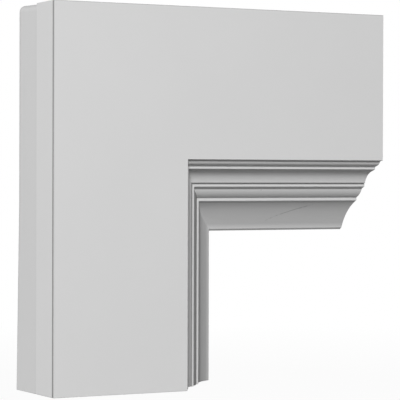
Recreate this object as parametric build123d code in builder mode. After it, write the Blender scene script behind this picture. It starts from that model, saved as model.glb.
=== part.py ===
from build123d import *
import os

# Inside corner of a coffered ceiling, moulded in one piece: two flat-faced arms that meet at a right angle,
# with a built-up crown along their inner edges that is mitred where they meet.
# The corner stands on the sawn foot of its upright arm, and the level arm reaches to the right (+X).
# The face looks to the front (-Y), the flat back (+Y) is the side that goes against the ceiling.
# Origin: middle of the bounding box in plan, at the height of the foot. All sizes are in millimetres.

# The two arms
level_arm_length = 355.0
upright_arm_length = 346.0
face_width = 136.8
crown_reach = 66.0
body_depth = 72.0

# Outer sides: a fine quirk close behind the face, the mould's parting line, and rounded rear arrises.
# Behind the parting line the outer corner is rounded too, and in front of it the corner is square.
quirk_setback = 0.7
quirk_width = 1.3
quirk_depth = 1.1
parting_depth = 33.0
parting_step = 0.5
rear_round = 6.0

# Members of the crown, in order from the face to the ceiling.
# A fall is measured away from the face's inner arris and a setback from front to back.
# A bow is an arc's rise over its chord. A return is the short drafted slope back to the next member.
bead_return_fall = 1.5
bead_return_setback = 4.4
bead_fall = 4.0
bead_setback = 3.9
bead_bow = 0.55

upper_fillet_return_fall = 1.3
upper_fillet_return_setback = 3.8
upper_fillet_fall = 2.3
fillet_draft = 0.2

small_cove_return_fall = 1.4
small_cove_return_setback = 3.5
small_cove_fall = 11.4
small_cove_setback = 12.7
small_cove_bow = 2.0

middle_quirk_fall = 0.5
middle_quirk_setback = 1.8
middle_fillet_rise_fall = 0.5
middle_fillet_rise = 1.2
middle_fillet_fall = 2.6

ovolo_return_fall = 2.0
ovolo_return_setback = 4.2
ovolo_fall = 8.3
ovolo_setback = 7.7
ovolo_bow = 0.7

lower_fillet_return_fall = 0.6
lower_fillet_return_setback = 1.0
lower_fillet_fall = 2.7

large_cove_return_fall = 1.4
large_cove_return_setback = 2.6
large_cove_bow = 2.9
lip_thickness = 5.0
lip_fall = 0.9
lip_return_setback = 1.2

# Easing of the arrises that stand proud
arris_round = 0.4

# Places in the row's frame
left = -level_arm_length / 2
right = level_arm_length / 2
top = upright_arm_length
front = -body_depth / 2
back = body_depth / 2
corner_x = left + face_width
corner_z = top - face_width

# Corners of the section, as (fall, setback) from the face's inner arris.
# The outer side lies at minus the face's width, and the crown's lip at the crown's reach.
face_arris = Vector(0, 0)
bead_top = face_arris + Vector(bead_return_fall, bead_return_setback)
bead_foot = bead_top + Vector(bead_fall, bead_setback)
upper_fillet_top = bead_foot + Vector(upper_fillet_return_fall, upper_fillet_return_setback)
upper_fillet_foot = upper_fillet_top + Vector(upper_fillet_fall, fillet_draft)
small_cove_top = upper_fillet_foot + Vector(small_cove_return_fall, small_cove_return_setback)
small_cove_foot = small_cove_top + Vector(small_cove_fall, small_cove_setback)
middle_quirk_bottom = small_cove_foot + Vector(middle_quirk_fall, middle_quirk_setback)
middle_fillet_top = middle_quirk_bottom + Vector(middle_fillet_rise_fall, -middle_fillet_rise)
middle_fillet_foot = middle_fillet_top + Vector(middle_fillet_fall, fillet_draft)
ovolo_top = middle_fillet_foot + Vector(ovolo_return_fall, ovolo_return_setback)
ovolo_foot = ovolo_top + Vector(ovolo_fall, ovolo_setback)
lower_fillet_top = ovolo_foot + Vector(lower_fillet_return_fall, lower_fillet_return_setback)
lower_fillet_foot = lower_fillet_top + Vector(lower_fillet_fall, fillet_draft)
large_cove_top = lower_fillet_foot + Vector(large_cove_return_fall, large_cove_return_setback)
lip_arris = Vector(crown_reach, body_depth - lip_thickness)
large_cove_foot = lip_arris - Vector(lip_fall, lip_return_setback)

back_inner = Vector(crown_reach, body_depth)
rear_side = -face_width + parting_step
back_outer = Vector(rear_side, body_depth)
rear_side_front = Vector(rear_side, parting_depth)
front_side_back = Vector(-face_width, parting_depth)
quirk_back = Vector(-face_width, quirk_setback + quirk_width)
quirk_bottom = Vector(-face_width + quirk_depth, quirk_setback + quirk_width / 2)
quirk_front = Vector(-face_width, quirk_setback)
face_outer = Vector(-face_width, 0)

# The section stands at the level arm's end, with its fall pointing down and its setback to the rear
section_plane = Plane(origin=(right, front, corner_z), x_dir=(0, 0, -1), z_dir=(1, 0, 0))
fillet_feet = [upper_fillet_foot, middle_fillet_foot, lower_fillet_foot]
eased_arrises = [face_arris, *fillet_feet, large_cove_foot, lip_arris]

# The rear arrises of the two outer sides and the one between these sides meet at this corner
rear_corner = Vertex(left + parting_step, back, top - parting_step)
rear_arris_count = 3

with BuildPart() as ceiling_corner:
    with BuildLine() as inner_arris:
        Polyline((right, front, corner_z), (corner_x, front, corner_z), (corner_x, front, 0))
    with BuildSketch(section_plane) as section:
        with BuildLine():
            Polyline(face_outer, face_arris, bead_top)
            SagittaArc(bead_top, bead_foot, -bead_bow)
            Polyline(bead_foot, upper_fillet_top, upper_fillet_foot, small_cove_top)
            SagittaArc(small_cove_top, small_cove_foot, small_cove_bow)
            Polyline(small_cove_foot, middle_quirk_bottom, middle_fillet_top, middle_fillet_foot, ovolo_top)
            SagittaArc(ovolo_top, ovolo_foot, -ovolo_bow)
            Polyline(ovolo_foot, lower_fillet_top, lower_fillet_foot, large_cove_top)
            SagittaArc(large_cove_top, large_cove_foot, large_cove_bow)
            Polyline(large_cove_foot, lip_arris, back_inner, back_outer, rear_side_front, front_side_back)
            Polyline(front_side_back, quirk_back, quirk_bottom, quirk_front, face_outer)
        make_face()
        fillet([section.vertices().sort_by_distance(arris)[0] for arris in eased_arrises], arris_round)
    sweep(path=inner_arris.wires()[0], transition=Transition.RIGHT)
    edges_by_distance = ceiling_corner.edges().sort_by(lambda edge: edge.distance_to(rear_corner))
    fillet(edges_by_distance[:rear_arris_count], rear_round)

ceiling_corner.part.label = "ceiling_corner"

os.makedirs("parts", exist_ok=True)
export_step(ceiling_corner.part, "parts/ceiling_corner.step")
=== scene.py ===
import logging
import math
from dataclasses import dataclass, field
from enum import Enum

import bpy
from mathutils import Matrix, Vector


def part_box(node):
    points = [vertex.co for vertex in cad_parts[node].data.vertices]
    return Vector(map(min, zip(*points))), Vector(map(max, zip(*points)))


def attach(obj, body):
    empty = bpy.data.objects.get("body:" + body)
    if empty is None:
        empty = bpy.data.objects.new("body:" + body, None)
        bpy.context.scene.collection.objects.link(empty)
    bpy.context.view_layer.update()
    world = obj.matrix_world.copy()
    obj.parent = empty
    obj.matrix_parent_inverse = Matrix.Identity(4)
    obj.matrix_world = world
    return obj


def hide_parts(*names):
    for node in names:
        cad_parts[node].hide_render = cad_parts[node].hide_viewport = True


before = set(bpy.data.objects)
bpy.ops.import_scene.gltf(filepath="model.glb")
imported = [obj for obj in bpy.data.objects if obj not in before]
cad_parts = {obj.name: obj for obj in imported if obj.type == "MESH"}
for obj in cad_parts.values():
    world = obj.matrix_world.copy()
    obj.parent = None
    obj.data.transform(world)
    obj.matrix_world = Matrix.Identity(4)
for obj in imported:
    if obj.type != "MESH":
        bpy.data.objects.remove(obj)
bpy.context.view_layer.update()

Socket = bpy.types.NodeSocket

# Inside corner of a coffered ceiling: two flat-faced arms at a right angle, with a built-up crown along
# their inner edges that is mitred where they meet. It is moulded in one piece and primed white.
# Lengths are in metres. A fall is measured away from the face's inner arris, and a setback from front
# to back.

NODE = "ceiling_corner"
BODY = "root"

HALF = 0.5
WHITE = (1.0, 1.0, 1.0, 1.0)
WAVE_LENGTH = 0.3  # of the wave texture at scale 1, nearly

log = logging.getLogger("ceiling_corner")


class Form(Enum):
    """The form of a crown member's visible surface: the sign of its arc's rise over its chord."""

    FLAT = 0
    HOLLOW = 1
    SWELLING = -1


class Arm(Enum):
    """The two arms, with how the numbers of their rings compare with zero, which is the mitre's."""

    LEVEL = "LESS_THAN"
    UPRIGHT = "GREATER_THAN"


class NodeBench:
    """Adds nodes to one node tree, feeds their inputs and hands back their outputs."""

    def __init__(self, tree: bpy.types.NodeTree) -> None:
        """Take a geometry or shader node tree to work on."""
        self.tree = tree

    @classmethod
    def cleared(cls, owner: bpy.types.Material | bpy.types.World) -> "NodeBench":
        """Empty the node tree of a new material or world, and take it to work on.

        Args:
            owner: the material or the world.

        Returns:
            The bench for its tree.
        """
        owner.use_nodes = True
        owner.node_tree.nodes.clear()
        return cls(owner.node_tree)

    def feed(self, socket: Socket, value: object) -> None:
        """Link an output to a socket, or set the socket's own value.

        Args:
            socket: the input to feed.
            value: an output socket to link, or a plain value to set.
        """
        if isinstance(value, Socket):
            self.tree.links.new(value, socket)
        else:
            socket.default_value = value

    def add(self, kind: str, label: str, inputs: dict | None = None, **settings: object) -> bpy.types.Node:
        """Add one node.

        Args:
            kind: the node's type name.
            label: what the node is for, in plain words.
            inputs: values or output sockets for its inputs, by name or by position.
            settings: the node's own properties.

        Returns:
            The new node.
        """
        node = self.tree.nodes.new(kind)
        node.label = label
        for name, value in settings.items():
            setattr(node, name, value)
        for key, value in (inputs or {}).items():
            self.feed(node.inputs[key], value)
        return node

    def math(self, operation: str, *values: object, label: str = "") -> Socket:
        """Add a math node, on numbers or output sockets, and return its output."""
        return self.add("ShaderNodeMath", label, dict(enumerate(values)), operation=operation).outputs[0]

    def vector(self, operation: str, *values: object, label: str = "") -> Socket:
        """Add a vector math node and return its output, a number for a length or a distance."""
        node = self.add("ShaderNodeVectorMath", label, dict(enumerate(values)), operation=operation)
        return node.outputs["Value" if operation in {"LENGTH", "DISTANCE"} else "Vector"]

    def scaled(self, vector: object, scale: object, label: str) -> Socket:
        """Multiply a vector by a number, and return the output."""
        node = self.add("ShaderNodeVectorMath", label, {0: vector, "Scale": scale}, operation="SCALE")
        return node.outputs["Vector"]

    def axes(self, vector: Socket, label: str) -> bpy.types.NodeOutputs:
        """Take a vector apart, and return its X, Y and Z."""
        return self.add("ShaderNodeSeparateXYZ", label, {0: vector}).outputs

    def ranged(self, value: Socket, given: tuple, wanted: tuple, label: str) -> Socket:
        """Carry a value from its given range to a wanted one, and keep it within that."""
        node = self.add("ShaderNodeMapRange", label, dict(enumerate((value, *given, *wanted))))
        return node.outputs["Result"]

    def noise(self, place: Socket, size: float, detail: float, label: str) -> Socket:
        """Add a noise texture with a grain of one size and some finer layers, and return its value."""
        inputs = {"Vector": place, "Scale": 1 / size, "Detail": detail}
        return self.add("ShaderNodeTexNoise", label, inputs).outputs[0]

    def seen(self) -> Socket:
        """Tell the rays that show the background from those that light the object.

        Returns:
            One for camera, glossy and transmission rays, zero for the rest.
        """
        path = self.add("ShaderNodeLightPath", "Rays").outputs
        mirrored = self.math("MAXIMUM", path["Is Glossy Ray"], path["Is Transmission Ray"], label="Mirrored")
        return self.math("MAXIMUM", path["Is Camera Ray"], mirrored, label="Seen")


@dataclass(frozen=True)
class Member:
    """One member of the crown, with the drafted return that leads back to it."""

    return_fall: float
    return_setback: float
    fall: float
    setback: float
    form: Form = Form.FLAT
    bow: float = 0.0
    # Shares of shade painted into the colour: at the return's top, at the member's foot, and over its arc on
    # the upright arm.
    painted_shade: float = 0.5
    edge_painted_shade: float = 0.0
    upright_painted_shade: float = 0.0


@dataclass(frozen=True)
class Corner:
    """A corner or arc point of the section, in fall and setback."""

    place: Vector
    ease: float = 0.0
    # Shares of shade painted into the colour at this point, on the level arm and on the upright arm.
    painted_shade: float = 0.0
    upright_painted_shade: float = 0.0
    is_rear: bool = False
    swells: bool = False


@dataclass(frozen=True)
class SectionPoint:
    """A point of the section's outline, with what the sweep needs to know of it.

    The turn is the radius that it follows round the outer corner or the mitre. The growth is how far it moves
    when the rear round grows by one unit. The painted shade is its share of the shade painted into the colour
    in the crown's hollows and returns and at the outer quirk; on the rear half it also holds a little plain
    darkening.
    The upright painted shade is the share on the upright arm, where more shade is painted.
    """

    place: Vector
    growth: Vector
    turn: float
    painted_shade: float
    upright_painted_shade: float


@dataclass(frozen=True)
class CrownSection:
    """The section that both arms share: the face, the crown, the back and the outer side."""

    face_width: float = 0.1375
    crown_reach: float = 0.0664
    depth: float = 0.072

    quirk_setback: float = 0.0007
    quirk_width: float = 0.0013
    quirk_depth: float = 0.0011
    parting_depth: float = 0.033
    parting_step: float = 0.0005
    side_draft: float = 0.0008
    rear_round: float = 0.006

    # Each member's painted shade darkens its return, quirk or foot where shade falls in the crown, and the
    # ovolo's arc on the upright arm.
    bead: Member = Member(0.0010, 0.0044, 0.0038, 0.0039, Form.SWELLING, 0.0007, painted_shade=0.3)
    upper_fillet: Member = Member(0.0013, 0.0038, 0.0023, 0.0002, painted_shade=0.1)
    small_cove: Member = Member(0.0014, 0.0035, 0.0116, 0.0127, Form.HOLLOW, 0.0023, painted_shade=0.3, edge_painted_shade=0.5)
    middle_quirk: Member = Member(0.0005, 0.0018, 0.0005, -0.0012, painted_shade=1.0, edge_painted_shade=0.8)
    middle_fillet: Member = Member(0.0, 0.0, 0.0024, 0.0002)
    ovolo: Member = Member(0.0020, 0.0042, 0.0080, 0.0077, Form.SWELLING, 0.0011, 0.8, 0.3, 0.7)
    lower_fillet: Member = Member(0.0006, 0.0010, 0.0027, 0.0002, painted_shade=0.5)

    large_cove_return: tuple[float, float] = (0.0014, 0.0026)
    large_cove_bow: float = 0.0029
    lip_thickness: float = 0.0028
    lip_fall: float = 0.0017
    lip_return_setback: float = 0.0024

    proud_ease: float = 0.0003
    sunk_ease: float = 0.0003
    fine_ease: float = 0.0002
    mitre_ease: float = 0.0005
    longest_ease: float = 0.45  # as a share of a side
    ease_steps: int = 5
    chord: float = 0.0009
    fewest_chords: int = 6
    shoulder: float = 0.0004
    shouldered_side: float = 3.0  # in shoulders
    sharpest: float = 0.5  # cosine of half the sharpest turn
    # Painted shade: in the outer quirk and on the face's outer arris, at the head of the large cove, in a
    # band over its lower half, and over its head on the upright arm. The rear darkening only makes the rear
    # half behind the parting line and the back a little darker.
    quirk_painted_shade: float = 1.0
    arris_painted_shade: float = 0.5
    rear_darkening: float = 0.12
    large_cove_painted_shade: float = 0.8
    large_cove_shade_band: float = 0.3
    shade_band_start: float = 0.35
    shade_band_peak: float = 0.85
    upright_head_shade: float = 0.6
    upright_head_shade_end: float = 0.7

    def members(self) -> tuple[Member, ...]:
        """List the members of the crown between the face and the large cove, in order."""
        upper = (self.bead, self.upper_fillet, self.small_cove, self.middle_quirk)
        return (*upper, self.middle_fillet, self.ovolo, self.lower_fillet)

    def arc(self, start: Vector, end: Vector, form: Form, bow: float) -> list[Vector]:
        """Work out the points between the ends of an arc.

        Args:
            start: the arc's first end.
            end: the arc's last end.
            form: hollow or swelling.
            bow: the arc's rise over its chord.

        Returns:
            The points between the ends, evenly spaced, without the ends themselves.
        """
        chord = end - start
        half = chord.length / 2
        radius = (half * half + bow * bow) / (2 * bow)
        into_the_solid = Vector((-chord.y, chord.x)).normalized() * form.value
        centre = (start + end) / 2 + into_the_solid * (bow - radius)
        sweep = 2 * math.asin(half / radius) * form.value
        steps = max(self.fewest_chords, round(chord.length / self.chord))
        spoke = start - centre
        return [centre + Matrix.Rotation(-sweep * step / steps, 2) @ spoke for step in range(1, steps)]

    def crown(self) -> list[Corner]:
        """List the corners and arc points of the crown, from the face's inner arris to the back.

        Returns:
            The corners in order, each with its easing and its painted shade.
        """
        place = Vector((0.0, 0.0))
        corners = [Corner(place, self.proud_ease)]
        for member in self.members():
            top = place + Vector((member.return_fall, member.return_setback))
            is_fillet = member.form is Form.FLAT
            if top != place:
                corners.append(Corner(top, self.sunk_ease, member.painted_shade))
            place = top + Vector((member.fall, member.setback))
            if not is_fillet:
                arc = self.arc(top, place, member.form, member.bow)
                corners += [Corner(point, upright_painted_shade=member.upright_painted_shade) for point in arc]
            corners.append(Corner(place, self.proud_ease if is_fillet else self.sunk_ease, member.edge_painted_shade))
        top = place + Vector(self.large_cove_return)
        lip = Vector((self.crown_reach, self.depth - self.lip_thickness))
        foot = lip - Vector((self.lip_fall, self.lip_return_setback))
        corners.append(Corner(top, self.sunk_ease, self.large_cove_painted_shade))
        for point in self.arc(top, foot, Form.HOLLOW, self.large_cove_bow):
            # Painted shade along the large cove: a band over its lower half, and on the upright arm a share
            # that fades down from its head.
            down = (point - top).length / (foot - top).length
            rising = (down - self.shade_band_start) / (self.shade_band_peak - self.shade_band_start)
            falling = (1.0 - down) / (1.0 - self.shade_band_peak)
            painted_shade = self.large_cove_shade_band * max(0.0, min(rising, falling))
            upright_painted_shade = max(painted_shade, self.upright_head_shade * (1.0 - down / self.upright_head_shade_end))
            corners.append(Corner(point, painted_shade=painted_shade, upright_painted_shade=upright_painted_shade))
        corners += [Corner(foot, self.sunk_ease), Corner(lip, self.proud_ease)]
        corners.append(Corner(Vector((self.crown_reach, self.depth)), self.proud_ease))
        return corners

    def outer_side(self) -> list[Corner]:
        """List the corners of the outer side, from the back to the face.

        Returns:
            The corners in order, each with its easing and its painted shade.
        """
        side = -self.face_width
        side_at_parting = side + self.side_draft
        rear_side = side_at_parting + self.parting_step
        quirk_back = self.quirk_setback + self.quirk_width
        quirk_middle = self.quirk_setback + self.quirk_width / 2
        return [
            Corner(Vector((rear_side, self.depth)), self.rear_round, is_rear=True, swells=True),
            Corner(Vector((rear_side, self.parting_depth)), self.fine_ease, is_rear=True),
            Corner(Vector((side_at_parting, self.parting_depth)), self.fine_ease),
            # Painted shade in the outer quirk and on the face's outer arris, where a dark line runs.
            Corner(Vector((side, quirk_back)), self.fine_ease, self.quirk_painted_shade),
            Corner(Vector((side + self.quirk_depth, quirk_middle)), self.sunk_ease, self.quirk_painted_shade),
            Corner(Vector((side, self.quirk_setback)), self.fine_ease, self.quirk_painted_shade),
            Corner(Vector((side, 0.0)), self.proud_ease, self.arris_painted_shade),
        ]

    def eased(self, before: Corner, corner: Corner, after: Corner) -> list[SectionPoint]:
        """Round one corner with an arc that is tangent to both sides.

        Args:
            before: the corner before it.
            corner: the corner to round.
            after: the corner after it.

        Returns:
            The arc's points, with a shoulder point on each side that is long enough to hold one.
        """
        back = before.place - corner.place
        ahead = after.place - corner.place
        turn = math.pi - back.angle(ahead)
        longest = self.longest_ease * min(back.length, ahead.length)
        reach = min(corner.ease * math.tan(turn / 2), longest)
        back_way, ahead_way = back.normalized(), ahead.normalized()
        radius = reach / math.tan(turn / 2)
        centre = corner.place + (back_way + ahead_way).normalized() * math.hypot(reach, radius)
        first_spoke = corner.place + back_way * reach - centre
        last_spoke = corner.place + ahead_way * reach - centre
        angle = first_spoke.angle_signed(last_spoke)
        turns = [-angle * step / self.ease_steps for step in range(self.ease_steps + 1)]
        spokes = [Matrix.Rotation(turned, 2) @ first_spoke for turned in turns]
        points = [self.swept(centre + spoke, corner, corner.painted_shade, spoke) for spoke in spokes]
        shoulder = reach + self.shoulder
        if back.length > self.shouldered_side * shoulder:
            points.insert(0, self.swept(corner.place + back_way * shoulder, corner, 0.0, first_spoke))
        if ahead.length > self.shouldered_side * shoulder:
            points.append(self.swept(corner.place + ahead_way * shoulder, corner, 0.0, last_spoke))
        return points

    def swept(self, place: Vector, corner: Corner, painted_shade: float, spoke: Vector) -> SectionPoint:
        """Note down how one point of the outline is swept.

        Args:
            place: the point, in fall and setback.
            corner: the corner that it belongs to.
            painted_shade: the point's own share of painted shade.
            spoke: the way from the centre of the corner's round to the point.

        Returns:
            The point for the sweep.
        """
        rear_centre = self.rear_round + self.parting_step + self.side_draft - self.face_width
        turn = rear_centre - place.x if corner.is_rear else 0.0
        # The rear half behind the parting line and the back are made a little darker.
        painted_shade = max(painted_shade, self.rear_darkening) if corner.is_rear else painted_shade
        growth = Vector((1.0, -1.0)) + spoke.normalized() if corner.swells else Vector((0.0, 0.0))
        return SectionPoint(place, growth, max(self.mitre_ease, turn), painted_shade, painted_shade)

    def outline(self) -> list[SectionPoint]:
        """Work out the closed outline of the section.

        Returns:
            Its points in order, with the solid on their left.
        """
        corners = self.crown() + self.outer_side()
        still = Vector((0.0, 0.0))
        points = []
        for index, corner in enumerate(corners):
            if corner.ease:
                points += self.eased(corners[index - 1], corner, corners[(index + 1) % len(corners)])
            else:
                # Painted shade of a plain point, on the level and the upright arm.
                painted_shades = (corner.painted_shade, corner.upright_painted_shade)
                points.append(SectionPoint(corner.place, still, self.mitre_ease, *painted_shades))
        return points

    def inward(self, points: list[SectionPoint]) -> list[Vector]:
        """Work out the way into the solid at each point of a closed outline.

        Args:
            points: the outline, with the solid on its left.

        Returns:
            One vector for each point, long enough to move both its sides in by one unit.
        """
        ways = []
        for index, point in enumerate(points):
            arriving = (point.place - points[index - 1].place).normalized()
            leaving = (points[(index + 1) % len(points)].place - point.place).normalized()
            middle = (arriving + leaving).normalized()
            way = Vector((-middle.y, middle.x))
            ways.append(way / max(self.sharpest, middle.dot(leaving)))
        return ways


@dataclass(frozen=True)
class Mark:
    """A dark mark with soft edges in the finish. The back, which lies behind the same places, stays clear."""

    reach: float
    shade: float
    back_clear: float = 0.03

    def shaded(self, bench: NodeBench, away: Socket, y: Socket) -> Socket:
        """Fade the mark out from its middle.

        Args:
            bench: the material's node bench.
            away: the distance from the mark's middle.
            y: Y of the place.

        Returns:
            The mark's shade in its middle, and zero past its reach and on the back.
        """
        depth = bench.ranged(away, (0.0, self.reach), (self.shade, 0.0), "Soft edges")
        front = bench.math("LESS_THAN", y, self.back_clear, label="Clear of the back")
        return bench.math("MULTIPLY", depth, front, label="On the front alone")


@dataclass(frozen=True)
class Hairline(Mark):
    """A fine scratch down the large cove of the level arm, as places in X with their fall."""

    reach: float = 0.0008
    shade: float = 0.34
    points: tuple[tuple[float, float], ...] = (
        (0.0843, 0.0581),
        (0.0942, 0.0534),
        (0.1065, 0.0491),
        (0.1190, 0.0453),
        (0.1324, 0.0418),
    )
    fade_start: float = 0.4
    break_length: float = 0.004
    break_edges: tuple[float, float] = (0.42, 0.55)
    faintest: float = 0.25

    def mark(self, bench: NodeBench, place: Socket, corner_z: float) -> Socket:
        """Draw the scratch on the surface.

        Args:
            bench: the material's node bench.
            place: the place on the moulding.
            corner_z: Z of the face's inner arris on the level arm.

        Returns:
            How dark the scratch makes the surface: its shade on it, and zero elsewhere.
        """
        (start_x, high), (end_x, low) = self.points[0], self.points[-1]
        axes = bench.axes(place, "Axes")
        along = bench.ranged(axes["X"], (start_x, end_x), (0.0, 1.0), "Along the scratch")
        course = bench.add("ShaderNodeFloatCurve", "Course of the scratch", {"Value": along})
        line = course.mapping.curves[0].points
        for x, between in self.points[1:-1]:
            line.new((x - start_x) / (end_x - start_x), (high - between) / (high - low))
        course.mapping.update()
        fall = bench.ranged(course.outputs["Value"], (0.0, 1.0), (high, low), "Fall of the scratch")
        here = bench.math("SUBTRACT", corner_z, axes["Z"], label="Fall here")
        away = bench.math("ABSOLUTE", bench.math("SUBTRACT", here, fall), label="Distance from the scratch")
        off_middle = bench.math("SUBTRACT", along, HALF, label="From the scratch's middle")
        outside = bench.math("ABSOLUTE", off_middle, label="Either way")
        within = bench.ranged(outside, (self.fade_start, HALF), (1.0, 0.0), "Fading ends")
        breaks = bench.noise(place, self.break_length, 1.0, "Breaks in the scratch")
        broken = bench.ranged(breaks, self.break_edges, (self.faintest, 1.0), "Broken line")
        whole = bench.math("MULTIPLY", self.shaded(bench, away, axes["Y"]), within, label="Whole scratch")
        return bench.math("MULTIPLY", whole, broken, label="Scratch")


@dataclass(frozen=True)
class Speck(Mark):
    """A small dark speck on the ovolo of the level arm."""

    reach: float = 0.0009
    shade: float = 0.35
    x: float = 0.0616
    fall: float = 0.0280

    def mark(self, bench: NodeBench, place: Socket, corner_z: float) -> Socket:
        """Draw the speck on the surface.

        Args:
            bench: the material's node bench.
            place: the place on the moulding.
            corner_z: Z of the face's inner arris on the level arm.

        Returns:
            How dark the speck makes the surface: its shade on it, and zero elsewhere.
        """
        flat = bench.vector("MULTIPLY", place, (1.0, 0.0, 1.0), label="Seen from the front")
        middle = (self.x, 0.0, corner_z - self.fall)
        away = bench.vector("DISTANCE", flat, middle, label="Distance from the speck")
        return self.shaded(bench, away, bench.axes(place, "Axes")["Y"])


@dataclass(frozen=True)
class Places:
    """Where the moulding's main faces lie in the shared frame."""

    arm_end: float
    foot: float
    foot_slope: float
    corner_x: float
    corner_z: float
    front: float


@dataclass(frozen=True)
class PrimerFinish:
    """Matt white factory primer, with a fine spray texture, over smooth moulded foam, and with shade painted
    into its colour.
    """

    colour: tuple[float, float, float] = (0.66, 0.66, 0.66)
    roughness: float = 0.62
    gloss: float = 0.12
    cloud_size: float = 0.09
    cloud_depth: float = 0.02
    spray_grain: float = 0.0009
    spray_depth: float = 0.00002
    ripple_length: float = 0.035
    ripple_depth: float = 0.00003
    saw_pitch: float = 0.0016
    saw_depth: float = 0.00006
    saw_wander: float = 3.0
    sawn_skin: float = 0.00006
    # Tone where the painted shade is full.
    with_painted_shade: float = 0.28
    hairline: Hairline = field(default_factory=Hairline)
    speck: Speck = field(default_factory=Speck)

    def material(self, places: Places) -> bpy.types.Material:
        """Mix the primer.

        Args:
            places: where the moulding's main faces lie.

        Returns:
            The material.
        """
        primer = bpy.data.materials.new("factory_primer")
        bench = NodeBench.cleared(primer)
        place = bench.add("ShaderNodeTexCoord", "Place on the moulding").outputs["Object"]
        surface = bench.add("ShaderNodeBsdfPrincipled", "Primer coat", {
            "Base Color": self.tone(bench, place, places),
            "Roughness": self.roughness,
            "Specular IOR Level": self.gloss,
            "Normal": self.relief(bench, place, places),
        })
        bench.add("ShaderNodeOutputMaterial", "Primer", {"Surface": surface.outputs["BSDF"]})
        return primer

    def tone(self, bench: NodeBench, place: Socket, places: Places) -> Socket:
        """Vary the colour a little over the surface, as sprayed coats do, and darken it with the painted
        shade and the marks.

        Args:
            bench: the material's node bench.
            place: the place on the moulding.
            places: where the moulding's main faces lie.

        Returns:
            The colour.
        """
        clouds = bench.noise(place, self.cloud_size, 3.0, "Uneven coat")
        coat = bench.ranged(clouds, (0.0, 1.0), (1 - self.cloud_depth, 1 + self.cloud_depth), "Coat")
        # Painted shade, read from the mesh, darkens the colour towards the full share's tone.
        painted_shade = bench.add("ShaderNodeAttribute", "Painted_shade", attribute_name="painted_shade").outputs["Fac"]
        unshaded = bench.ranged(painted_shade, (0.0, 1.0), (1.0, self.with_painted_shade), "Unshaded to soiled")
        marks = [mark.mark(bench, place, places.corner_z) for mark in (self.hairline, self.speck)]
        unmarked = bench.math("SUBTRACT", 1.0, bench.math("MAXIMUM", *marks), label="Not marked")
        coated = bench.math("MULTIPLY", coat, unshaded, label="Coat and soil")
        return bench.scaled(self.colour, bench.math("MULTIPLY", coated, unmarked, label="Shade"), "Tinted")

    def relief(self, bench: NodeBench, place: Socket, places: Places) -> Socket:
        """Raise the spray texture, a slow ripple, and faint saw marks on the two sawn ends.

        Args:
            bench: the material's node bench.
            place: the place on the moulding.
            places: where the moulding's main faces lie.

        Returns:
            The shading normal.
        """
        spray = bench.noise(place, self.spray_grain, 2.0, "Spray texture")
        ripple = bench.noise(place, self.ripple_length, 1.0, "Mould ripple")
        spray_height = bench.math("MULTIPLY", spray, self.spray_depth, label="Spray height")
        height = bench.math("MULTIPLY_ADD", ripple, self.ripple_depth, spray_height, label="Coat height")
        axes = bench.axes(place, "Axes")
        end, foot = places.arm_end - self.sawn_skin, places.foot + self.sawn_skin
        at_end = bench.math("GREATER_THAN", axes["X"], end, label="On the arm's end")
        setback = bench.math("SUBTRACT", axes["Y"], places.front, label="Setback")
        cut = bench.math("MULTIPLY_ADD", setback, places.foot_slope, foot, label="Just above the foot")
        at_foot = bench.math("LESS_THAN", axes["Z"], cut, label="On the foot")
        sawn = bench.math("MAXIMUM", at_end, at_foot, label="Sawn")
        strokes = bench.add("ShaderNodeTexWave", "Saw strokes", {
            "Vector": place,
            "Scale": WAVE_LENGTH / self.saw_pitch,
            "Distortion": self.saw_wander,
            "Detail": 3.0,
        }, bands_direction="Y")
        stroke_height = bench.math("MULTIPLY", strokes.outputs["Fac"], self.saw_depth, label="Stroke height")
        bump = bench.add("ShaderNodeBump", "Relief", {
            "Height": bench.math("MULTIPLY_ADD", stroke_height, sawn, height, label="Height"),
            "Distance": 1.0,
            "Strength": 1.0,
        })
        return bump.outputs["Normal"]


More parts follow.
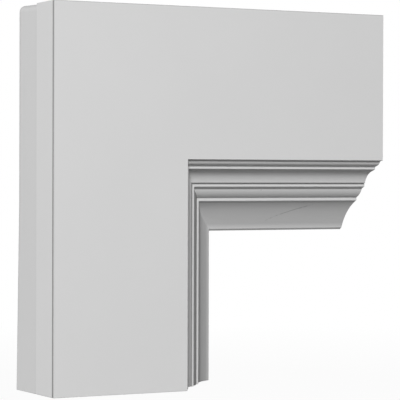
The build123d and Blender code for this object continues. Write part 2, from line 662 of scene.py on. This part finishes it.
class MitredSweep(NodeBench):
    """The tree that carries the section along both arms, turns it at the mitre and closes the sawn ends."""

    KINDS = {float: "NodeSocketFloat", int: "NodeSocketInt", bpy.types.Material: "NodeSocketMaterial"}
    CLOSE_RINGS = 2.0  # the shoulder's and the eased end's

    def __init__(self, sizes: dict[str, object]) -> None:
        """Make the tree, with the sizes as its named inputs.

        Args:
            sizes: a value for each input, by its name.
        """
        super().__init__(bpy.data.node_groups.new("mitred_sweep", "GeometryNodeTree"))
        sockets = self.tree.interface
        sockets.new_socket("Section", in_out="INPUT", socket_type="NodeSocketGeometry")
        for name, value in sizes.items():
            sockets.new_socket(name, in_out="INPUT", socket_type=self.KINDS[type(value)])
        sockets.new_socket("Moulding", in_out="OUTPUT", socket_type="NodeSocketGeometry")
        self.given = self.add("NodeGroupInput", "Sizes").outputs
        whole = self.add("GeometryNodeJoinGeometry", "Skin and caps")
        for part in (self.skin(), *(self.cap(arm) for arm in Arm)):
            self.tree.links.new(part, whole.inputs[0])
        loose = {"Geometry": whole.outputs[0], "Distance": self.given["Weld"]}
        welded = self.add("GeometryNodeMergeByDistance", "Weld", loose)
        self.add("NodeGroupOutput", "Moulding", {"Moulding": self.dressed(welded.outputs["Geometry"])})

    def skin(self) -> Socket:
        """Lay rings of the section along both arms, turn them round the corner and join them with faces.

        Returns:
            The skin, open at both sawn ends.
        """
        given = self.given
        size = self.add("GeometryNodeAttributeDomainSize", "Section points", {"Geometry": given["Section"]})
        points = size.outputs["Point Count"]
        half = self.math("ADD", given["Rings"], given["Turning Rings"], label="Rings on each side")
        grid = self.add("GeometryNodeMeshGrid", "Unrolled skin", {
            "Size X": 1.0,
            "Size Y": 1.0,
            "Vertices X": self.math("ADD", points, 1.0, label="Columns, seam twice"),
            "Vertices Y": self.math("MULTIPLY_ADD", half, 2.0, 1.0, label="Rows"),
        })
        flat = self.axes(self.place(), "Place in the grid")
        across = self.math("ADD", flat["X"], HALF, label="Share round the section")
        column = self.math("ROUND", self.math("MULTIPLY", across, points), label="Column")
        point = self.math("MODULO", column, points, label="Point of the section")
        along = self.math("MULTIPLY", flat["Y"], 2.0, label="Minus one to one along both arms")
        ring = self.math("ROUND", self.math("MULTIPLY", along, half), label="Rings from the mitre")
        # Painted shade stored on the skin, none on the sawn ends.
        with_painted_shade = self.add("GeometryNodeStoreNamedAttribute", "Soil, none on the sawn ends", {
            "Geometry": grid.outputs["Mesh"],
            "Name": "painted_shade",
            "Value": self.painted_shade(ring, point, half),
        }, data_type="FLOAT", domain="POINT")
        placed = self.add("GeometryNodeSetPosition", "Skin", {
            "Geometry": with_painted_shade.outputs[0],
            "Position": self.ring_place(ring, point),
        })
        return placed.outputs[0]

    def painted_shade(self, ring: Socket, point: Socket, half: Socket) -> Socket:
        """Work out how much shade is painted at a point of the section on one ring.

        Args:
            ring: the ring's number from the mitre.
            point: the point's number.
            half: the rings on each side of the mitre.

        Returns:
            The share of painted shade, zero on the sawn ends.
        """
        named = (self.named(name, "FLOAT") for name in ("painted_shade", "upright_painted_shade"))
        level, upright = (self.sampled(point, value, "FLOAT") for value in named)
        more = self.math("SUBTRACT", upright, level, label="More on the upright arm")
        shade_share = self.math("MULTIPLY_ADD", more, self.on(Arm.UPRIGHT, ring), level, label="Painted_shade")
        last = self.math("SUBTRACT", half, HALF, label="Before the last ring")
        whole = self.math("LESS_THAN", self.math("ABSOLUTE", ring), last, label="Not on a sawn end")
        return self.math("MULTIPLY", shade_share, whole, label="Soil on the skin")

    def on(self, arm: Arm, ring: Socket) -> Socket:
        """Tell whether a ring is on an arm: one there, zero on the other and on the mitre."""
        return self.math(arm.value, ring, 0.0, label=f"On the {arm.name.lower()} arm")

    def ring_place(self, ring: Socket, point: Socket) -> Socket:
        """Work out where a point of the section lies on one ring.

        Args:
            ring: the ring's number from the mitre, below zero on the level arm and above on the upright.
            point: the point's number.

        Returns:
            The place on the moulding.
        """
        given = self.given
        rings = self.math("ABSOLUTE", ring, label="Rings either way")
        turned = self.math("MINIMUM", rings, given["Turning Rings"], label="Turned")
        steps = self.math("SUBTRACT", rings, turned, label="Rings past the turn")
        signed = self.math("MULTIPLY", turned, self.math("SIGN", ring), label="Turned, with its side")
        share = self.math("DIVIDE", signed, given["Turning Rings"], label="Share of the turn")
        angle = self.math("MULTIPLY_ADD", share, math.pi / 4, math.pi / 4, label="Angle of the turn")
        last = self.math("SUBTRACT", given["Rings"], HALF, label="Before the last ring")
        at_end = self.math("GREATER_THAN", steps, last, label="At a sawn end")
        inset = self.math("MULTIPLY", given["End Ease"], at_end, label="Inset")
        place, way = (self.sampled(point, value) for value in (self.place(), self.named("inward")))
        eased = self.vector("MULTIPLY_ADD", way, inset, place, label="Eased end")
        section = self.axes(eased, "Fall and setback")
        radius = self.sampled(point, self.named("turn", "FLOAT"), "FLOAT")
        corner_x = self.math("ADD", given["Corner X"], section["X"], label="Mitre in X")
        corner_z = self.math("SUBTRACT", given["Corner Z"], section["X"], label="Mitre in Z")
        near_x = self.short_of_corner(radius, self.math("SINE", angle))
        near_z = self.short_of_corner(radius, self.math("COSINE", angle))
        start_x = self.math("ADD", corner_x, near_x, label="Start of the level run")
        start_z = self.math("SUBTRACT", corner_z, near_z, label="Start of the upright run")
        level_run = self.run(self.math("SUBTRACT", given["Arm End"], start_x), steps, at_end)
        foot = self.foot_height(section["Y"])
        upright_run = self.run(self.math("SUBTRACT", start_z, foot), steps, at_end)
        on_upright = self.on(Arm.UPRIGHT, ring)
        z = self.math("SUBTRACT", start_z, self.math("MULTIPLY", upright_run, on_upright), label="Z")
        plain = self.add("ShaderNodeCombineXYZ", "Place before the swell", {
            "X": self.math("MULTIPLY_ADD", level_run, self.on(Arm.LEVEL, ring), start_x, label="X"),
            "Y": self.math("ADD", given["Front"], section["Y"], label="Y"),
            "Z": z,
        })
        turn_share = self.math("DIVIDE", angle, math.pi / 2, label="Zero on level, one on upright")
        growth = self.growth(point, steps, self.math("MULTIPLY", at_end, on_upright, label="At the foot"))
        swell = self.swell(turn_share, z)
        return self.vector("MULTIPLY_ADD", growth, swell, plain.outputs[0], label="Place on the moulding")

    def growth(self, point: Socket, steps: Socket, at_foot: Socket) -> Socket:
        """Work out how far a point moves when the rear round grows by one unit.

        Args:
            point: the point's number.
            steps: the rings past the turn.
            at_foot: one on the foot's ring, zero elsewhere.

        Returns:
            The way on the moulding, along the mitre at the turn and along the cut at the foot.
        """
        growth = self.sampled(point, self.named("growth"))
        growing = self.axes(growth, "Growth")
        slope = self.math("MULTIPLY", at_foot, self.given["Foot Slope"], label="Foot's slope")
        rise = self.math("MULTIPLY", growing["Y"], slope, label="Growth along the cut")
        gone = self.math("DIVIDE", steps, self.given["Rings"], label="Share of the rings gone")
        near = self.math("SUBTRACT", gone, 1.0, label="Minus one at the turn, zero at the sawn end")
        along_mitre = self.math("MULTIPLY_ADD", growing["X"], near, rise, label="Growth in Z")
        lifted = self.add("ShaderNodeCombineXYZ", "Growth in Z alone", {"Z": along_mitre})
        return self.vector("ADD", growth, lifted.outputs[0], label="Growth on the moulding")

    def foot_height(self, setback: Socket) -> Socket:
        """Work out Z of the sawn foot, which is cut a little out of square, at one setback."""
        slope, foot = self.given["Foot Slope"], self.given["Foot"]
        return self.math("MULTIPLY_ADD", setback, slope, foot, label="Sawn foot")

    def short_of_corner(self, radius: Socket, reach: Socket) -> Socket:
        """Work out how far the turn stands from the sharp corner, from its angle's sine or cosine."""
        return self.math("MULTIPLY", radius, self.math("SUBTRACT", 1.0, reach), label="From the sharp corner")

    def swell(self, turn_share: Socket | float, height: Socket) -> Socket:
        """Work out how much larger the rear round is at one place.

        Args:
            turn_share: zero on the level arm, one on the upright arm, and between them in the turn.
            height: Z of the place.

        Returns:
            The growth of the round's radius, below zero near the foot.
        """
        given = self.given
        grown = self.math("MULTIPLY", turn_share, given["Rear Swell"], label="Grown")
        wasting = ((0.0, given["Waste Start"]), (given["Rear Waste"], 0.0))
        wasted = self.ranged(height, *wasting, "Wasted near the foot")
        return self.math("SUBTRACT", grown, wasted, label="Swell")

    def run(self, length: Socket, steps: Socket, at_end: Socket) -> Socket:
        """Work out how far a ring stands from the start of its arm's run.

        Args:
            length: the length of the run at this point of the section.
            steps: the rings past the turn.
            at_end: one on the ring of the sawn end, zero elsewhere.

        Returns:
            The distance along the arm.
        """
        given = self.given
        shouldered = self.math("MINIMUM", steps, 1.0, label="Past the shoulder")
        first = self.math("MULTIPLY", given["Shoulder"], shouldered, label="Shoulder")
        even_rings = self.math("SUBTRACT", given["Rings"], self.CLOSE_RINGS, label="Even steps")
        past = self.math("SUBTRACT", steps, shouldered, label="Steps past the shoulder")
        even = self.math("DIVIDE", past, even_rings, label="Share of the run")
        eases = self.math("ADD", given["Shoulder"], given["End Ease"], label="Shoulder and eased end")
        between = self.math("SUBTRACT", length, eases, label="Between them")
        share = self.math("MINIMUM", even, 1.0, label="Share up to the eased end")
        whole = self.math("MULTIPLY_ADD", between, share, first, label="Whole rings")
        return self.math("MULTIPLY_ADD", given["End Ease"], at_end, whole, label="Run")

    def place(self) -> Socket:
        """Read the place of each point of the mesh that is at hand."""
        return self.add("GeometryNodeInputPosition", "Place").outputs[0]

    def named(self, name: str, data_type: str = "FLOAT_VECTOR") -> Socket:
        """Read one of the section's named attributes."""
        inputs = {"Name": name}
        return self.add("GeometryNodeInputNamedAttribute", name, inputs, data_type=data_type).outputs[0]

    def sampled(self, point: Socket, value: Socket, data_type: str = "FLOAT_VECTOR") -> Socket:
        """Read a value at one point of the section."""
        inputs = {"Geometry": self.given["Section"], "Index": point, "Value": value}
        return self.add("GeometryNodeSampleIndex", "At the point", inputs, data_type=data_type).outputs[0]

    def cap(self, arm: Arm) -> Socket:
        """Close one sawn end with a flat face.

        Args:
            arm: the arm whose end is closed.

        Returns:
            The cap.
        """
        given = self.given
        inset = self.scaled(self.named("inward"), given["End Ease"], "Eased end")
        eased = {"Geometry": given["Section"], "Offset": inset}
        section = self.add("GeometryNodeSetPosition", "Eased section", eased).outputs[0]
        axes = self.axes(self.place(), "Fall and setback")
        if arm is Arm.LEVEL:
            x = given["Arm End"]
            z = self.math("SUBTRACT", given["Corner Z"], axes["X"], label="Z")
        else:
            x = self.math("ADD", given["Corner X"], axes["X"], label="X")
            z = self.foot_height(axes["Y"])
            grown = self.scaled(self.named("growth"), self.swell(1.0, z), "Rear round at the foot")
            swollen = {"Geometry": section, "Offset": grown}
            section = self.add("GeometryNodeSetPosition", "Section at the foot", swollen).outputs[0]
        y = self.math("ADD", given["Front"], axes["Y"], label="Y")
        target = self.add("ShaderNodeCombineXYZ", "Place on the sawn end", {"X": x, "Y": y, "Z": z})
        loop = self.add("GeometryNodeMeshToCurve", "Section loop", {"Mesh": section})
        filled = self.add("GeometryNodeFillCurve", "Sawn face", {"Curve": loop.outputs[0]})
        placed = self.add("GeometryNodeSetPosition", f"{arm.name.capitalize()} arm's end", {
            "Geometry": filled.outputs[0],
            "Position": target.outputs[0],
        })
        return placed.outputs[0]

    def dressed(self, mesh: Socket) -> Socket:
        """Shade the moulding smooth between its creases and give it its finish.

        Args:
            mesh: the welded moulding.

        Returns:
            The finished moulding.
        """
        smooth = self.add("GeometryNodeSetShadeSmooth", "Smooth", {"Geometry": mesh, "Shade Smooth": True})
        fold = self.add("GeometryNodeInputMeshEdgeAngle", "Fold").outputs["Unsigned Angle"]
        creased = self.add("GeometryNodeStoreNamedAttribute", "Creases", {
            "Geometry": smooth.outputs[0],
            "Name": "sharp_edge",
            "Value": self.math("GREATER_THAN", fold, self.given["Crease"], label="Creased"),
        }, data_type="BOOLEAN", domain="EDGE")
        real = self.add("GeometryNodeRealizeInstances", "Realize", {"Geometry": creased.outputs[0]})
        coated = self.add("GeometryNodeSetMaterial", "Primed", {
            "Geometry": real.outputs[0],
            "Material": self.given["Finish"],
        })
        return coated.outputs[0]


@dataclass
class MitredMoulding:
    """The whole corner: one section carried along both arms, mitred inside and rounded outside."""

    section: CrownSection = field(default_factory=CrownSection)
    finish: PrimerFinish = field(default_factory=PrimerFinish)
    rings_per_arm: int = 24
    turning_rings: int = 5
    turn_shoulder: float = 0.0005
    end_ease: float = 0.0003
    crease: float = math.radians(20.0)
    weld: float = 0.00001

    rear_swell: float = 0.0018
    rear_waste: float = 0.0057
    waste_start: float = 0.170
    foot_slope: float = 0.028

    def section_mesh(self) -> bpy.types.Mesh:
        """Draw the section as a closed loop of edges, with what the sweep needs to know of each point.

        Returns:
            The mesh, with fall along X and setback along Y.
        """
        points = self.section.outline()
        count = len(points)
        edges = [(index, (index + 1) % count) for index in range(count)]
        mesh = bpy.data.meshes.new("crown_section")
        mesh.from_pydata([point.place.to_3d() for point in points], edges, [])
        vectors = {"inward": self.section.inward(points), "growth": [point.growth for point in points]}
        for name, values in vectors.items():
            attribute = mesh.attributes.new(name, "FLOAT_VECTOR", "POINT")
            for item, value in zip(attribute.data, values):
                item.vector = value.to_3d()
        for name in ("turn", "painted_shade", "upright_painted_shade"):
            attribute = mesh.attributes.new(name, "FLOAT", "POINT")
            attribute.data.foreach_set("value", [getattr(point, name) for point in points])
        return mesh

    def places(self) -> Places:
        """Find where the main faces lie, from the box of the moulding's solid."""
        low, high = (Vector(corner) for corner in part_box(NODE))
        return Places(
            arm_end=high.x,
            foot=low.z,
            foot_slope=self.foot_slope,
            corner_x=low.x + self.section.face_width,
            corner_z=high.z - self.section.face_width,
            front=low.y,
        )

    def sizes(self) -> dict[str, object]:
        """List the sizes, counts and finish that the sweep asks for, by the name of the tree's input."""
        places = self.places()
        return {
            "Arm End": places.arm_end,
            "Foot": places.foot,
            "Foot Slope": places.foot_slope,
            "Corner X": places.corner_x,
            "Corner Z": places.corner_z,
            "Front": places.front,
            "End Ease": self.end_ease,
            "Shoulder": self.turn_shoulder,
            "Crease": self.crease,
            "Weld": self.weld,
            "Rear Swell": self.rear_swell,
            "Rear Waste": self.rear_waste,
            "Waste Start": self.waste_start,
            "Rings": self.rings_per_arm,
            "Turning Rings": self.turning_rings,
            "Finish": self.finish.material(places),
        }

    def build(self) -> bpy.types.Object:
        """Build the moulding as one plain mesh in the place of its solid.

        Returns:
            The finished object, at the origin.
        """
        piece = bpy.data.objects.new("mitred_moulding", self.section_mesh())
        bpy.context.scene.collection.objects.link(piece)
        sizes = self.sizes()
        modifier = piece.modifiers.new("mitred_sweep", "NODES")
        modifier.node_group = MitredSweep(sizes).tree
        for item in modifier.node_group.interface.items_tree:
            if item.name in sizes:
                modifier[item.identifier] = sizes[item.name]
        evaluated = piece.evaluated_get(bpy.context.evaluated_depsgraph_get())
        mesh = bpy.data.meshes.new_from_object(evaluated)
        mesh.name = "mitred_moulding"
        piece.modifiers.clear()
        piece.data = mesh
        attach(piece, BODY)
        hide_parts(NODE)
        log.info("%s: %d faces", piece.name, len(mesh.polygons))
        return piece


@dataclass(frozen=True)
class Lamp:
    """A soft square lamp that looks at the middle of the moulding."""

    name: str
    azimuth: float
    height: float
    distance: float
    side: float
    power: float

    def hang(self, aim: Vector) -> bpy.types.Object:
        """Hang the lamp.

        Args:
            aim: the point that it looks at.

        Returns:
            The lamp's object.
        """
        light = bpy.data.lights.new(self.name, "AREA")
        light.shape = "SQUARE"
        light.size = self.side
        light.energy = self.power
        lamp = bpy.data.objects.new(self.name, light)
        azimuth, height = math.radians(self.azimuth), math.radians(self.height)
        way = Vector((
            -math.sin(azimuth) * math.cos(height),
            -math.cos(azimuth) * math.cos(height),
            math.sin(height),
        ))
        lamp.location = aim + way * self.distance
        lamp.rotation_euler = (-way).to_track_quat("-Z", "Y").to_euler()
        bpy.context.scene.collection.objects.link(lamp)
        log.info("%s lamp hung", self.name)
        return lamp


@dataclass(frozen=True)
class Viewpoint:
    """The place and aim of the camera that took the photograph, with angles in degrees."""

    place: tuple[float, float, float] = (-1.1723, -1.8507, 0.1955)
    yaw: float = 32.250
    pitch: float = -0.632
    roll: float = -0.161
    lens_mm: float = 214.25
    sensor_mm: float = 36.0

    def axes(self) -> Matrix:
        """Work out the camera's turn.

        Returns:
            A matrix whose columns are the camera's right, up and backward directions.
        """
        yaw, pitch, roll = (math.radians(angle) for angle in (self.yaw, self.pitch, self.roll))
        ahead, sideways = math.cos(yaw) * math.cos(pitch), math.sin(yaw) * math.cos(pitch)
        forward = Vector((sideways, ahead, math.sin(pitch)))
        level_right = Vector((math.cos(yaw), -math.sin(yaw), 0.0))
        level_up = level_right.cross(forward)
        right = level_right * math.cos(roll) - level_up * math.sin(roll)
        up = level_right * math.sin(roll) + level_up * math.cos(roll)
        return Matrix((right, up, -forward)).transposed()

    def set_up(self) -> bpy.types.Object:
        """Create the camera and make it the scene's own.

        Returns:
            The camera's object.
        """
        data = bpy.data.cameras.new("viewpoint")
        data.sensor_width = self.sensor_mm
        data.lens = self.lens_mm
        camera = bpy.data.objects.new("viewpoint", data)
        camera.matrix_world = Matrix.Translation(self.place) @ self.axes().to_4x4()
        bpy.context.scene.collection.objects.link(camera)
        bpy.context.scene.camera = camera
        log.info("camera set up")
        return camera


@dataclass(frozen=True)
class PaperFinish:
    """The floor's matt paper, white where it is seen, but for a faint shade close to the moulding."""

    tone: float = 0.25
    near_veil: float = 0.96
    veil_start: float = 0.2
    veil_end: float = 0.9

    def material(self) -> bpy.types.Material:
        """Mix the paper.

        Returns:
            The material.
        """
        paper = bpy.data.materials.new("floor_paper")
        bench = NodeBench.cleared(paper)
        tone = (self.tone, self.tone, self.tone, 1.0)
        matt = bench.add("ShaderNodeBsdfDiffuse", "Matt paper", {"Color": tone})
        glow = bench.add("ShaderNodeEmission", "White", {"Color": WHITE, "Strength": 1.0})
        place = bench.add("ShaderNodeTexCoord", "Place on the floor").outputs["Object"]
        away = bench.vector("LENGTH", place, label="Distance from the moulding")
        cover = bench.ranged(away, (self.veil_start, self.veil_end), (self.near_veil, 1.0), "Cover")
        mixed = bench.add("ShaderNodeMixShader", "Paper under a veil", {
            0: bench.math("MULTIPLY", bench.seen(), cover, label="Veil"),
            1: matt.outputs[0],
            2: glow.outputs[0],
        })
        bench.add("ShaderNodeOutputMaterial", "Floor", {"Surface": mixed.outputs[0]})
        return paper


@dataclass
class Studio:
    """A plain pale floor, a white surround and soft lamps in front, to the left and behind."""

    viewpoint: Viewpoint = field(default_factory=Viewpoint)
    paper: PaperFinish = field(default_factory=PaperFinish)
    lamps: tuple[Lamp, ...] = (
        Lamp("key", 34.0, 19.0, 6.5, 1.1, 428.0),
        Lamp("side", 86.0, 4.0, 4.0, 1.2, 52.0),
        Lamp("back", 222.0, 14.0, 4.0, 1.6, 130.0),
    )
    surround: float = 0.03
    floor_side: float = 14.0
    floor_gap: float = 0.0003

    def light_surround(self) -> None:
        """Set the world: white where it is seen, and a plain grey where it lights."""
        world = bpy.data.worlds.new("surround")
        bench = NodeBench.cleared(world)
        level = bench.add("ShaderNodeMix", "Light or background", {
            "Factor": bench.seen(),
            "A": self.surround,
            "B": 1.0,
        })
        background = bench.add("ShaderNodeBackground", "Surround", {
            "Color": WHITE,
            "Strength": level.outputs["Result"],
        })
        bench.add("ShaderNodeOutputWorld", "World", {"Surface": background.outputs["Background"]})
        bpy.context.scene.world = world

    def lay_floor(self, low: Vector) -> bpy.types.Object:
        """Lay the floor just under the foot.

        Args:
            low: the lowest corner of the moulding's box.

        Returns:
            The floor's object.
        """
        half = self.floor_side / 2
        height = low.z - self.floor_gap
        corners = [(-half, -half, height), (half, -half, height), (half, half, height), (-half, half, height)]
        mesh = bpy.data.meshes.new("floor")
        mesh.from_pydata(corners, [], [(0, 1, 2, 3)])
        mesh.materials.append(self.paper.material())
        floor = bpy.data.objects.new("floor", mesh)
        bpy.context.scene.collection.objects.link(floor)
        log.info("floor laid")
        return floor

    def build(self) -> None:
        """Set up the camera, the lamps, the surround and the floor."""
        low, high = (Vector(corner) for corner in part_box(NODE))
        self.viewpoint.set_up()
        self.light_surround()
        self.lay_floor(low)
        for lamp in self.lamps:
            lamp.hang((low + high) / 2)


def main() -> None:
    """Build the moulding and its studio."""
    logging.basicConfig(level=logging.INFO, format="%(message)s")
    bpy.context.scene.view_settings.view_transform = "Standard"
    Studio().build()
    MitredMoulding().build()


if __name__ == "__main__":
    main()
